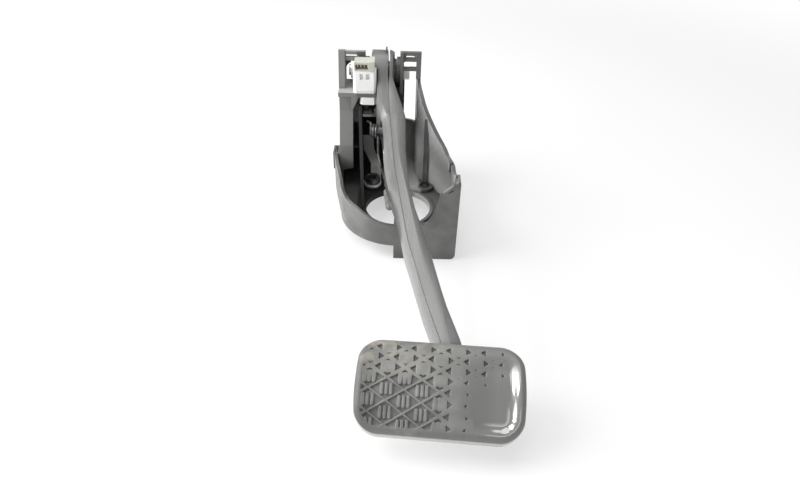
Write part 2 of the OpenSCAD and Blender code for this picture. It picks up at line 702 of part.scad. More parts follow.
module arm_right_shell() {
    edge_x = hub_seam_x + seam_slot / 2;
    color(paint) difference() {
        union() {
            difference() {
                loft([for (y = arm_stations) right_section(y)]);
                pad_room();
            }
            hub_cap(0, edge_x, hub_right_x, -20, hub_right_x - sheet_t);
        }
        arm_bores();
    }
}

// Push rod bush: a steel tube through both shells
pushrod_y = 0;
pushrod_z = 60;
pushrod_r = pushrod_bore_d / 2;
pushrod_mid_x = -4;
module pushrod_bush() {
    color(steel) tube_x(pushrod_mid_x - pushrod_bush_len / 2, pushrod_mid_x + pushrod_bush_len / 2,
        pushrod_y, pushrod_z, pushrod_r + sleeve_wall, pushrod_r);
}

// Tab on the arm that holds the switch plunger in
tab_left_x = left_inner_x + 1;
tab_y = [switch_y - 10, switch_y + 6];
tab_pad_t = 0.8;
module switch_tab() {
    top_z = tab_z - tab_pad_t;
    color(paint) union() {
        translate([tab_left_x, tab_y[0], top_z - sheet_t])
            cube([neck_left_x - 0.4 - tab_left_x, tab_y[1] - tab_y[0], sheet_t]);
        translate([neck_left_x - 0.4 - sheet_t, tab_y[0], top_z - sheet_t])
            cube([sheet_t, tab_y[1] - tab_y[0], 8]);
    }
}
module tab_pad() {
    color(plastic) translate([tab_left_x + 0.5, tab_y[0] + 1, tab_z - tab_pad_t])
        cube([8, tab_y[1] - tab_y[0] - 2, tab_pad_t]);
}

// Return spring: a coil round a pin on the arm, one leg against the bracket, one under the arm
spring_y = 25;
spring_z = 72;
pin_x = -13.6;
coil_x0 = -19.6;
pin_r = 4.2;
coil_r = pin_r + 0.3 + wire_d / 2;
pin_len = pin_x - coil_x0 + (spring_turns + 0.5) * (wire_d + 0.2) + 0.5;
module spring_pin() {
    color(steel) union() {
        rod_x(pin_x - pin_len, pin_x, spring_y, spring_z, pin_r);
        rod_x(pin_x - pin_len - 1.2, pin_x - pin_len + eps, spring_y, spring_z, pin_r + 1.2);
    }
}

coil_steps = 14;
coil_turn_points = spring_turns * coil_steps;
function coil_point(i) = let (a = 200 + 360 * i / coil_steps)
    [coil_x0 - i * (wire_d + 0.2) / coil_steps, spring_y + coil_r * cos(a),
    spring_z + coil_r * sin(a)];
rest_leg_end = [left_inner_x + wire_d / 2 + 0.3, 58, 68];
spring_path = concat([[-7, -50, 40.2], [-9.4, -30, 42.3], [-12.5, -10, 42.5], [-16.5, 6, 44.5],
    [coil_x0 + 0.2, 14, 54]],
    [for (i = [0:coil_turn_points + 5]) coil_point(i)],
    [[-27, 36, 74.5], [-31, 46, 71.5], rest_leg_end]);

function ring(p, i, r, n) = let (t = unit(p[min(i + 1, len(p) - 1)] - p[max(i - 1, 0)]),
    u = unit(cross(t, [1, 0, 0])), v = cross(t, u))
    [for (k = [0:n - 1]) p[i] + r * (u * cos(360 * k / n) + v * sin(360 * k / n))];
module return_spring() {
    color(steel) loft([for (i = [0:len(spring_path) - 1]) ring(spring_path, i, wire_d / 2, 8)]);
}

module spring_sleeve() {
    a = spring_path[0];
    b = spring_path[1];
    d = b - a;
    len = norm(d);
    color(rubber) translate(a - unit(d)) rotate([0, acos(d[2] / len), atan2(d[1], d[0])]) difference() {
        union() {
            cylinder(h = len, r = spring_sleeve_d / 2);
            sphere(r = spring_sleeve_d / 2);
        }
        cylinder(h = len + 1, r = wire_d / 2 + 0.15);
    }
}

// Brake light switch
module switch_block(w, d, h, c) {
    linear_extrude(h) polygon([[-w / 2 + c, -d / 2], [w / 2 - c, -d / 2], [w / 2, -d / 2 + c],
        [w / 2, d / 2 - c], [w / 2 - c, d / 2], [-w / 2 + c, d / 2], [-w / 2, d / 2 - c],
        [-w / 2, -d / 2 + c]]);
}

module switch_body() {
    slot_w = 3.2;
    color(white_plastic) translate([switch_x, switch_y, 0]) difference() {
        union() {
            translate([0, 0, shelf_z]) switch_block(switch_w, switch_d, switch_h, 2);
            translate([plunger_x - switch_x, 0, shelf_z - shelf_t - collar_depth])
                cylinder(h = 16, r = neck_r);
            for (x = [-7.5:2.5:7.5])
                translate([x - 0.7, -switch_d / 2 - 0.8, shelf_z]) cube([1.4, 1.2, 3.4]);
        }
        for (x = [-2.9, 2.9]) translate([x - slot_w / 2, -switch_d / 2 - 1, shelf_z + switch_h - 8])
            cube([slot_w, 4, 5.2]);
        translate([plunger_x - switch_x, 0, 0])
            cylinder(h = shelf_z + 4, r = plunger_d / 2 + run_gap);
        translate([-tongue_w / 2 - 0.2, socket_y - switch_y - tongue_d / 2 - 0.2,
            shelf_z + switch_h - tongue_h - 0.4]) cube([tongue_w + 0.4, tongue_d + 0.4, 8]);
    }
}

module switch_collar() {
    collar_w = 15.2;
    color(white_plastic) translate([plunger_x, switch_y, shelf_z - shelf_t - collar_depth])
        difference() {
            translate([shelf_right_x - collar_w / 2 - plunger_x, 0, 0])
                switch_block(collar_w, switch_d, collar_depth - 0.1, 2);
            translate([0, 0, -1]) cylinder(h = collar_depth + 2, r = neck_r + 0.1);
        }
}

module switch_plunger() {
    r = plunger_d / 2;
    color(plastic) translate([plunger_x, switch_y, plunger_tip_z]) union() {
        translate([0, 0, r]) sphere(r = r);
        translate([0, 0, r]) cylinder(h = shelf_z + 2 - plunger_tip_z - r, r = r);
    }
}

socket_w = 18.5;
socket_h = 8;
socket_d = 14;
tongue_w = 14;
tongue_d = 6;
tongue_h = 4.6;
socket_x = switch_x;
socket_y = switch_y + 1;
module switch_socket() {
    base_z = shelf_z + switch_h;
    color(grey_plastic) translate([socket_x, socket_y, base_z]) difference() {
        union() {
            translate([-socket_w / 2, -socket_d / 2, 0]) cube([socket_w - 4.5, socket_d, socket_h]);
            translate([socket_w / 2 - 4.5, -socket_d / 2 - 1, 0]) cube([4.5, socket_d, socket_h + 1]);
            translate([-tongue_w / 2, -tongue_d / 2, -tongue_h]) cube([tongue_w, tongue_d, 5]);
        }
        translate([-socket_w / 2 + 1.2, -socket_d / 2 - 1, 1.4])
            cube([socket_w - 7.2, socket_d - 3, socket_h - 3.2]);
    }
}

module switch_terminals() {
    color(steel) for (i = [0:3]) translate([socket_x - socket_w / 2 + 2.6 + i * 3,
        socket_y - socket_d / 2 + 2.5, shelf_z + switch_h + 3]) cube([0.9, 9.5, 1.8]);
}

// Pad: a curved plate and the rubber round it, about an axis along X below the pad
pad_centre_x = 30.7;
pad_tilt = 27;
pad_turn = -3;
pad_mid = [arm_end_y + 2.6, 32.2];
pad_normal = [-sin(pad_tilt), cos(pad_tilt)];
pad_axis = pad_mid - pad_r * pad_normal;

module rounded_rect(w, h, r) {
    square([w - 2 * r, h], center = true);
    square([w, h - 2 * r], center = true);
    for (sx = [-1, 1], sy = [-1, 1]) translate([sx * (w / 2 - r), sy * (h / 2 - r)]) circle(r = r);
}

// A layer of the pad between two depths below its face, set in from the edge
module pad_layer(inset, d0, d1) {
    intersection() {
        translate([pad_centre_x, pad_mid[0], pad_mid[1]]) rotate([pad_tilt, 0, 0])
            rotate([0, 0, pad_turn]) translate([0, 0, -40]) linear_extrude(60)
                rounded_rect(pad_w - 2 * inset, pad_h - 2 * inset, pad_corner_r - inset / 2);
        tube_x(-far / 2, far / 2, pad_axis[0], pad_axis[1], pad_r - d0, pad_r - d1);
    }
}

plate_front = rubber_t;
plate_back = rubber_t + pad_plate_t;
module pad_plate() {
    color(paint) pad_layer(lip_t + 0.2, plate_front, plate_back);
}

module pad_rubber() {
    notch_w = 21;
    color(rubber) difference() {
        pad_layer(0, 0, plate_back + lip_t);
        pad_layer(lip_t + 0.1, plate_front - 0.02, plate_back + 0.02);
        pad_layer(lip_t + lip_w, plate_back - 1, plate_back + lip_t + 2);
        translate([pad_centre_x - 1.2, pad_mid[0] + 16.9, pad_mid[1] - 1 - far])
            cube([notch_w, 40, far]);
    }
}

bracket();
top_sleeves();
stud_sleeves();
guide_strip();
guide_ring();
guide_washer();
pivot_bolt();
pivot_washer();
pivot_nut();
switch_body();
switch_socket();
switch_terminals();
switch_collar();
rest_buffer();
switch_plunger();
arm_left_shell();
arm_right_shell();
pivot_tube();
pivot_bush_left();
pivot_bush_right();
switch_tab();
tab_pad();
spring_pin();
return_spring();
spring_sleeve();
pushrod_bush();
pad_plate();
pad_rubber();
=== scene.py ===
"""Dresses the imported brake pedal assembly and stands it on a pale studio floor."""
import json
import math

import bmesh
import bpy
from bpy.props import FloatProperty, FloatVectorProperty, PointerProperty
from mathutils import Matrix, Vector


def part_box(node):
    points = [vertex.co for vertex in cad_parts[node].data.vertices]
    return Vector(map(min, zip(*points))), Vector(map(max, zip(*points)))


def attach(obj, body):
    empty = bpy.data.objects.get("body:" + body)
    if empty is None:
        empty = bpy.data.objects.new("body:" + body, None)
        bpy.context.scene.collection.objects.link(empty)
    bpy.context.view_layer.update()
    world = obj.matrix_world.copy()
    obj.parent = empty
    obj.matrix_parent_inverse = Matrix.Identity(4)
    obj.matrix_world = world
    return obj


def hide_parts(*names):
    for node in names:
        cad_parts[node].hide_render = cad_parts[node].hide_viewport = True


bl_info = {
    "name": "Brake pedal assembly",
    "version": (1, 0, 0),
    "blender": (4, 5, 0),
    "location": "View3D > Sidebar > Pedal",
    "description": "Builds the finished pedal, its bracket and its studio",
    "category": "Object",
}

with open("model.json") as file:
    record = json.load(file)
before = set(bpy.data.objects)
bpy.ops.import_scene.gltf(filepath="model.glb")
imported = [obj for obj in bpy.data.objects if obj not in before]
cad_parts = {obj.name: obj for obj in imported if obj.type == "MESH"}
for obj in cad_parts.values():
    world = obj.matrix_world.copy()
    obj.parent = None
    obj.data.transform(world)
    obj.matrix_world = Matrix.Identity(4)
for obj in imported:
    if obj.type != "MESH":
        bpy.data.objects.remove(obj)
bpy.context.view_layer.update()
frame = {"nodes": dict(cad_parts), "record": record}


# Sizes and colours that a user would change

def length(name, description, metres):
    return FloatProperty(name=name, description=description, default=metres, unit="LENGTH")


def angle(name, description, degrees):
    return FloatProperty(
        name=name, description=description, default=math.radians(degrees), unit="ROTATION")


def colour(name, description, value):
    return FloatVectorProperty(
        name=name, description=description, default=value, subtype="COLOR", size=3)


class PadSettings(bpy.types.PropertyGroup):
    width: length("Width", "Width of the rubber pad across the car", 0.109)
    height: length("Height", "Height of the rubber pad along its chord", 0.062)
    face_radius: length("Face radius", "Radius that the face is curved to", 0.070)
    corner_radius: length("Corner radius", "Radius of the corners", 0.015)
    bow: length("Bow", "How far the sides bow out between the corners", 0.0016)
    tread_depth: length("Tread depth", "Depth of the cells of the tread", 0.0013)
    rim_height: length("Rim height", "Depth of the face below its right and lower rim", 0.0030)
    diamond_width: length("Diamond width", "Width of each diamond of the tread", 0.0225)
    diamond_height: length("Diamond height", "Height of each diamond of the tread", 0.0142)
    tilt: angle("Tilt", "Tilt of the pad towards the foot", 27)
    turn: angle("Turn", "Turn of the pad in its own plane", -3)


class FinishSettings(bpy.types.PropertyGroup):
    plastic: colour("Bracket", "Colour of the moulded bracket", (0.135, 0.135, 0.131))
    paint: colour("Arm", "Colour of the painted arm", (0.138, 0.137, 0.134))
    rubber: colour("Pad", "Colour of the pad rubber", (0.165, 0.165, 0.158))
    dust: colour("Dust", "Colour of the dust on the pad", (0.33, 0.30, 0.24))
    white: colour("Switch", "Colour of the switch body", (0.86, 0.86, 0.84))
    grey: colour("Socket", "Colour of the switch socket", (0.50, 0.50, 0.45))
    zinc: colour("Zinc", "Colour of the zinc plated steel", (0.62, 0.62, 0.60))


class StageSettings(bpy.types.PropertyGroup):
    pitch: angle("Pitch", "Angle that the camera looks down", 38)
    roll: angle("Roll", "Roll of the camera", 1.4)
    lens: FloatProperty(
        name="Lens", description="Focal length for a 36 mm wide frame", default=27.9, unit="CAMERA")
    place: FloatVectorProperty(
        name="Place", description="Place of the camera", default=(0.003, -0.4926, 0.338),
        subtype="TRANSLATION", size=3)


def pad_settings():
    return bpy.context.scene.pedal_pad


def finish_settings():
    return bpy.context.scene.pedal_finish


def stage_settings():
    return bpy.context.scene.pedal_stage


# Materials

class Finish:
    """A node material with one shader, and helpers that add the nodes that drive it."""

    def __init__(self, name):
        self.material = bpy.data.materials.new(name)
        self.material.use_nodes = True
        self.tree = self.material.node_tree
        self.shader = self.tree.nodes["Principled BSDF"]
        coordinates = self.node("ShaderNodeTexCoord")
        self.object = coordinates.outputs["Object"]
        self.normal = coordinates.outputs["Normal"]

    def node(self, kind, **settings):
        made = self.tree.nodes.new(kind)
        for key, value in settings.items():
            setattr(made, key, value)
        return made

    def link(self, source, target):
        self.tree.links.new(source, target)

    def put(self, target, value):
        """Links a socket, or sets a number or a colour."""
        if isinstance(value, bpy.types.NodeSocket):
            self.link(value, target)
        elif isinstance(value, (tuple, list)) and len(value) == 3 and len(target.default_value) == 4:
            target.default_value = (*value, 1)
        else:
            target.default_value = value

    def noise(self, scale, detail=4.0, roughness=0.55, stretch=None):
        """Noise by the place on the piece; stretch scales each axis of that place."""
        made = self.node("ShaderNodeTexNoise")
        made.inputs["Scale"].default_value = scale
        made.inputs["Detail"].default_value = detail
        made.inputs["Roughness"].default_value = roughness
        place = self.object
        if stretch:
            mapping = self.node("ShaderNodeMapping")
            mapping.inputs["Scale"].default_value = stretch
            self.link(self.object, mapping.inputs["Vector"])
            place = mapping.outputs["Vector"]
        self.link(place, made.inputs["Vector"])
        return made.outputs["Fac"]

    def cells(self, scale):
        made = self.node("ShaderNodeTexVoronoi")
        made.inputs["Scale"].default_value = scale
        self.link(self.object, made.inputs["Vector"])
        return made.outputs["Distance"]

    def span(self, value, low, high, to_low=0.0, to_high=1.0):
        """Eases from to_low to to_high as the value goes from low to high."""
        made = self.node("ShaderNodeMapRange", interpolation_type="SMOOTHSTEP")
        self.put(made.inputs["Value"], value)
        made.inputs["From Min"].default_value = low
        made.inputs["From Max"].default_value = high
        made.inputs["To Min"].default_value = to_low
        made.inputs["To Max"].default_value = to_high
        return made.outputs["Result"]

    def math(self, operation, a, b=0.0):
        made = self.node("ShaderNodeMath", operation=operation)
        self.put(made.inputs[0], a)
        self.put(made.inputs[1], b)
        return made.outputs["Value"]

    def product(self, first, *others):
        """All the values multiplied together."""
        for other in others:
            first = self.math("MULTIPLY", first, other)
        return first

    def parts(self, vector):
        made = self.node("ShaderNodeSeparateXYZ")
        self.link(vector, made.inputs["Vector"])
        return made.outputs["X"], made.outputs["Y"], made.outputs["Z"]

    def mix(self, factor, a, b):
        made = self.node("ShaderNodeMix", data_type="RGBA")
        self.put(made.inputs["Factor"], factor)
        self.put(made.inputs["A"], a)
        self.put(made.inputs["B"], b)
        return made.outputs["Result"]

    def mottled(self, base, scale, dark, light, low=0.35, high=0.7):
        """The colour in cloudy patches, from dark times to light times itself."""
        patches = self.span(self.noise(scale), low, high)
        return self.mix(patches, times(base, dark), times(base, light))

    def varied(self, scale, least, most):
        """A number that drifts between two ends, as roughness does."""
        return self.span(self.noise(scale), 0.3, 0.7, least, most)

    def set(self, **values):
        for key, value in values.items():
            self.put(self.shader.inputs[key.replace("_", " ")], value)
        return self

    def attribute(self, name):
        """A value stored on each vertex of the mesh."""
        return self.node("ShaderNodeAttribute", attribute_name=name).outputs["Fac"]

    def shade(self, reach, low, high):
        """0 in corners that others close in on within reach, and 1 in the open."""
        made = self.node("ShaderNodeAmbientOcclusion", samples=6)
        made.inputs["Distance"].default_value = reach
        return self.span(made.outputs["AO"], low, high)

    def bump(self, height, strength, distance=0.0003, rounded=0.0):
        """Grain in the surface; rounded gives the radius of the edges as they are lit."""
        made = self.node("ShaderNodeBump")
        made.inputs["Strength"].default_value = strength
        made.inputs["Distance"].default_value = distance
        if rounded:
            edge = self.node("ShaderNodeBevel", samples=4)
            edge.inputs["Radius"].default_value = rounded
            self.link(edge.outputs["Normal"], made.inputs["Normal"])
        self.link(height, made.inputs["Height"])
        self.link(made.outputs["Normal"], self.shader.inputs["Normal"])
        return self


def times(base, factor):
    return tuple(min(1.0, c * factor) for c in base)


def bracket_plastic():
    """Black glass filled plastic, mottled, with painted shade in the recess and corners, painted
    light on the shelf and legs, and a painted reflection inside the right wall.
    """
    f = Finish("bracket plastic")
    base = tuple(finish_settings().plastic)
    reflection_colour = (0.86, 0.87, 0.86)
    x, y, z = f.parts(f.object)
    nx, ny, nz = f.parts(f.normal)
    finish = f.mottled(base, 38.0, 0.82, 1.2, high=0.68)

    # Painted shade, flat and dark and less shiny, in the recess under the arm
    right_of_left_wall = f.span(x, -0.041, -0.038)
    left_of_middle = f.span(x, 0.006, 0.003)
    under_head = f.span(z, 0.094, 0.090)
    behind_panel = f.span(y, -0.036, -0.030)
    shaded_hollow = f.product(right_of_left_wall, left_of_middle, under_head, behind_panel)
    finish = f.mix(shaded_hollow, finish, times(base, 0.24))

    # Painted shade in the corners, in the recess under the arm and low down
    painted_shade_zone = f.product(right_of_left_wall, f.span(x, 0.004, 0.0))
    painted_shade_zone = f.math("MAXIMUM", painted_shade_zone, f.span(z, 0.040, 0.032))
    corners = f.shade(0.03, 0.15, 0.75)
    open_air = f.math("MAXIMUM", corners, f.math("SUBTRACT", 1.0, painted_shade_zone))
    finish = f.mix(open_air, times(base, 0.4), finish)

    # Painted light on the upward face of the switch shelf
    painted_light_shelf = f.product(f.span(nz, 0.5, 0.9), f.span(z, 0.090, 0.093), f.span(x, -0.030, -0.036))
    finish = f.mix(painted_light_shelf, finish, times(base, 2.4))

    # Painted light inside the right leg, below its arch
    leg_left_side = f.span(x, 0.001, 0.005)
    leg_front = f.span(y, 0.025, 0.04)
    leg_low = f.span(z, 0.060, 0.030)
    painted_light_right_leg = f.product(leg_left_side, leg_front, leg_low, f.span(x, 0.022, 0.018))
    finish = f.mix(painted_light_right_leg, finish, times(base, 3.6))

    # Painted light on the front of the left leg
    faces_front = f.span(ny, -0.5, -0.8)
    painted_light_left_leg = f.product(faces_front, f.span(x, -0.040, -0.042), f.span(z, 0.022, 0.034))
    finish = f.mix(painted_light_left_leg, finish, times(base, 1.35))

    # Painted reflection on the inner side of the right wall, brighter towards the rim and the top
    faces_in = f.span(nx, -0.25, -0.6)
    right_side = f.span(x, 0.012, 0.018)
    towards_top = f.span(z, 0.015, 0.080, 0.45, 1.0)
    towards_rim = f.span(x, 0.022, 0.032, 0.8, 1.0)
    off_panel = f.span(y, -0.046, -0.036, 0.1, 1.0)
    strength = f.product(towards_top, f.varied(26.0, 0.8, 1.1), towards_rim, off_panel)
    painted_sheen = f.product(faces_in, right_side, strength)
    finish = f.mix(painted_sheen, finish, reflection_colour)

    rough = f.math("SUBTRACT", f.varied(240.0, 0.36, 0.5), f.product(painted_sheen, 0.2))
    shine = f.math("SUBTRACT", 0.45, f.product(shaded_hollow, 0.38))
    f.set(Base_Color=finish, Roughness=rough, Specular_IOR_Level=shine)
    smoother = f.math("SUBTRACT", 1.0, f.product(painted_sheen, 0.95))
    grain = f.product(f.noise(1500.0, 2.0), smoother)
    return f.bump(grain, 0.18, 0.0002, rounded=0.0006).material


def arm_paint():
    """Dip paint over the pressed arm, with rolled streaks along it, a little dust and painted shade
    in the seam.
    """
    f = Finish("arm paint")
    base = tuple(finish_settings().paint)
    speck_colour = (0.55, 0.54, 0.5)
    seam_shade_colour = (0.01, 0.01, 0.01)
    streak = f.noise(60.0, 5.0, 0.6, stretch=(1.0, 0.06, 0.35))
    finish = f.mix(f.span(streak, 0.35, 0.68), times(base, 0.84), times(base, 1.16))
    specks = f.span(f.noise(900.0, 2.0), 0.69, 0.76)
    finish = f.mix(f.product(specks, 0.35), finish, speck_colour)
    # Painted shade in the seam between the halves and in the other creases
    finish = f.mix(f.shade(0.007, 0.55, 0.97), seam_shade_colour, finish)
    y = f.parts(f.object)[1]
    dull_at_hub = f.product(f.span(y, 0.020, 0.034), 0.2)
    rough = f.math("ADD", f.span(streak, 0.3, 0.7, 0.20, 0.32), dull_at_hub)
    f.set(
        Base_Color=finish, Roughness=rough, Coat_Weight=0.45, Coat_Roughness=0.2,
        Specular_IOR_Level=0.6)
    return f.bump(f.noise(700.0, 3.0), 0.08, 0.0002).material


def pad_rubber():
    """Worn rubber, dusty in the upper left, darker in its pits, with painted shade at its left end
    and a painted highlight on its outer lip, and polished where the foot rubs.
    """
    f = Finish("pad rubber")
    own = finish_settings()
    base = tuple(own.rubber)
    lip_highlight_colour = (0.55, 0.55, 0.53)
    x, y, _ = f.parts(f.object)
    worn = f.span(x, 0.020, 0.062)
    finish = f.mottled(base, 90.0, 0.9, 1.3)
    finish = f.mix(worn, finish, times(base, 0.95))
    # Painted shade towards the left end of the pad
    left_end = f.span(x, -0.008, -0.020, 0.0, 0.75)
    finish = f.mix(left_end, finish, times(base, 0.55))
    towards_top = f.span(y, -0.243, -0.212)
    towards_left = f.span(x, 0.060, -0.010)
    blotches = f.span(f.noise(150.0, 6.0), 0.42, 0.62)
    dusty = f.product(towards_top, towards_left, blotches, 0.55)
    finish = f.mix(dusty, finish, tuple(own.dust))
    # Darker in the pits of the tread, more so towards the top
    finish = f.mix(f.attribute("dirt"), finish, times(base, 0.3))
    # Painted highlight along the outer lip
    finish = f.mix(f.attribute("lip"), finish, lip_highlight_colour)
    polish = f.attribute("polish")
    rough = f.math("SUBTRACT", f.varied(300.0, 0.50, 0.62), f.product(worn, 0.12))
    rough = f.math("SUBTRACT", rough, f.product(polish, 0.28))
    f.set(
        Base_Color=finish, Roughness=rough, Specular_IOR_Level=0.5, Coat_Weight=polish,
        Coat_Roughness=0.1, Coat_IOR=2.2)
    return f.bump(f.noise(1400.0, 3.0), 0.16, 0.0002).material


def small_rubber():
    f = Finish("small rubber")
    base = (0.13, 0.13, 0.128)
    f.set(Base_Color=f.mottled(base, 200.0, 0.8, 1.3), Roughness=0.55)
    return f.bump(f.noise(1200.0, 2.0), 0.15, 0.0002).material


def zinc_steel():
    """Zinc plate, crystalline and slightly stained."""
    f = Finish("zinc steel")
    base = tuple(finish_settings().zinc)
    stain_colour = (0.20, 0.20, 0.19)
    crystals = f.span(f.cells(420.0), 0.1, 0.7)
    finish = f.mix(crystals, times(base, 0.93), times(base, 1.05))
    stains = f.span(f.noise(90.0), 0.5, 0.75, 0.0, 0.5)
    finish = f.mix(stains, finish, stain_colour)
    f.set(Base_Color=finish, Metallic=0.85, Roughness=f.varied(260.0, 0.26, 0.42))
    return f.bump(f.noise(900.0, 2.0), 0.1, 0.0001).material


def dark_steel():
    """Black passivated steel with a film of oil and bright worn spots."""
    f = Finish("dark steel")
    oily, dry, bright = (0.06, 0.06, 0.06), (0.16, 0.16, 0.155), (0.55, 0.55, 0.53)
    film = f.mix(f.span(f.noise(160.0), 0.3, 0.7), oily, dry)
    worn_spots = f.span(f.noise(420.0, 5.0), 0.60, 0.72, 0.0, 0.8)
    f.set(Base_Color=f.mix(worn_spots, film, bright), Metallic=0.7, Roughness=0.34)
    return f.bump(f.noise(900.0, 3.0), 0.2, 0.0001).material


def strip_steel():
    """Plain steel of the guide strip, with stains, painted shade at the top and painted light at the
    foot.
    """
    f = Finish("strip steel")
    shaded_top_colour, bright, stain_colour = (0.22, 0.22, 0.22), (0.95, 0.95, 0.94), (0.1, 0.1, 0.1)
    low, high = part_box("guide_strip")
    tall = high[2] - low[2]
    z = f.parts(f.object)[2]
    # Painted shade towards the top and painted light at the foot
    foot = f.span(z, low[2] + 0.6 * tall, low[2] + 0.05 * tall)
    stains = f.span(f.noise(120.0), 0.55, 0.75, 0.0, 0.4)
    finish = f.mix(stains, f.mix(foot, shaded_top_colour, bright), stain_colour)
    f.set(Base_Color=finish, Metallic=0.25, Roughness=0.3)
    return f.bump(f.noise(900.0, 2.0), 0.1, 0.0001).material


def spring_steel():
    f = Finish("spring steel")
    base = (0.09, 0.09, 0.088)
    f.set(Base_Color=f.mottled(base, 300.0, 0.6, 1.5), Metallic=0.6, Roughness=0.32)
    return f.bump(f.noise(1300.0, 2.0), 0.12, 0.0001).material


def moulded(name, base, dirt):
    """Pale moulding with faint flow marks and a little dirt."""
    f = Finish(name)
    dirt_colour = (0.36, 0.35, 0.31)
    dirty = f.product(f.span(f.noise(330.0, 5.0), 0.58, 0.74), dirt)
    finish = f.mix(dirty, f.mottled(base, 70.0, 0.93, 1.0), dirt_colour)
    f.set(
        Base_Color=finish, Roughness=f.varied(180.0, 0.4, 0.52), Subsurface_Weight=0.08,
        Subsurface_Radius=(0.002, 0.002, 0.0018))
    return f.bump(f.noise(1100.0, 2.0), 0.08, 0.0001).material


def contact_metal():
    f = Finish("contact metal")
    base = (0.62, 0.54, 0.36)
    f.set(Base_Color=f.mottled(base, 500.0, 0.75, 1.1, low=0.3), Metallic=0.9, Roughness=0.3)
    return f.material


FINISH_OF_SLOT = {}


def all_finishes():
    own = finish_settings()
    FINISH_OF_SLOT.update({
        "bracket_plastic": bracket_plastic(),
        "arm_paint": arm_paint(),
        "pad_rubber": pad_rubber(),
        "small_rubber": small_rubber(),
        "zinc_steel": zinc_steel(),
        "spring_steel": spring_steel(),
        "dark_steel": dark_steel(),
        "strip_steel": strip_steel(),
        "white_plastic": moulded("white plastic", tuple(own.white), 0.12),
        "grey_plastic": moulded("grey plastic", tuple(own.grey), 0.3),
        "terminal_metal": contact_metal(),
    })


# Mesh helpers

def new_piece(name, mesh_builder, body, slot):
    """An object at the origin whose mesh is filled in by mesh_builder(bm)."""
    bm = bmesh.new()
    mesh_builder(bm)
    mesh = bpy.data.meshes.new(name)
    bm.to_mesh(mesh)
    bm.free()
    mesh.shade_smooth()
    piece = bpy.data.objects.new(name, mesh)
    bpy.context.scene.collection.objects.link(piece)
    piece.data.materials.append(FINISH_OF_SLOT[slot])
    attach(piece, body)
    return piece


def merged_copy(node, bm):
    """The triangles of a CAD node, welded and with their flat neighbours joined."""
    weld_distance = 0.00001
    flat_angle = math.radians(1.0)
    bm.from_mesh(frame["nodes"][node].data)
    bmesh.ops.remove_doubles(bm, verts=bm.verts, dist=weld_distance)
    bmesh.ops.dissolve_limit(bm, angle_limit=flat_angle, verts=bm.verts, edges=bm.edges)


def sharp_edges(bm, limit):
    return [e for e in bm.edges if len(e.link_faces) == 2 and e.calc_face_angle(0.0) > limit]


def bevel_edges(bm, edges, width, segments):
    bmesh.ops.bevel(
        bm, geom=edges, offset=width, offset_type="OFFSET", segments=segments, profile=0.5,
        affect="EDGES", clamp_overlap=True, material=-1)


def drawn_out(bm, edges):
    """A new ring joined to these edges by faces: its edges and its vertices."""
    made = bmesh.ops.extrude_edge_only(bm, edges=edges)["geom"]
    ring = [g for g in made if isinstance(g, bmesh.types.BMEdge)]
    return ring, [g for g in made if isinstance(g, bmesh.types.BMVert)]


# Operators, one for each piece or group

class PEDAL_OT_finishes(bpy.types.Operator):
    """Gives each CAD node that stays in view its material"""
    bl_idname = "pedal.finishes"
    bl_label = "Finishes"

    def execute(self, context):
        all_finishes()
        slot_of = {s["node"]: s["material_slot"] for s in frame["record"]["subparts"]}
        own_finish = {
            "rest_buffer": "small_rubber",
            "spring_sleeve": "small_rubber",
            "guide_strip": "strip_steel",
            "guide_washer": "zinc_steel",
            "pivot_tube": "dark_steel",
        }
        for name, node in frame["nodes"].items():
            finish = own_finish.get(name, slot_of[name])
            node.data.materials.clear()
            node.data.materials.append(FINISH_OF_SLOT[finish])
        return {"FINISHED"}


def soft_step(low, high, value):
    """Eases from 0 to 1 as the value goes from low to high."""
    t = min(max((value - low) / (high - low), 0.0), 1.0)
    return t * t * (3 - 2 * t)


# The pad's middle in the frame, and its thickness behind the face
PAD_MIDDLE = (0.0307, -0.2389, 0.0322)
PAD_THICKNESS = 0.0097
PAD_ROUND_OVER = 0.0042

# The pocket in its back: the width of the lip round it, and how far below the face its floor is
PAD_LIP = 0.0078
PAD_POCKET_FLOOR = 0.0056

# Facets of the face, across and up
PAD_COLUMNS = 320
PAD_ROWS = 190

# Centre of one diamond of the tread, across and up from the middle of the pad
DIAMOND_U = -0.0340
DIAMOND_V = -0.0180

# Ridges between the diamonds, and the three upright bars in each
RIDGE_HALF_WIDTH = 0.00042
BAR_PITCH = 0.0029
BAR_HALF_LENGTH = 0.0030
BAR_CORE_HALF_WIDTH = 0.00035
BAR_ROUNDING = 0.00048

# How far from a ridge the rubber is worn level, for a wear of 1, and how soft the edge of a pit is
WEAR_REACH = 0.00085
PIT_EDGE = 0.0005


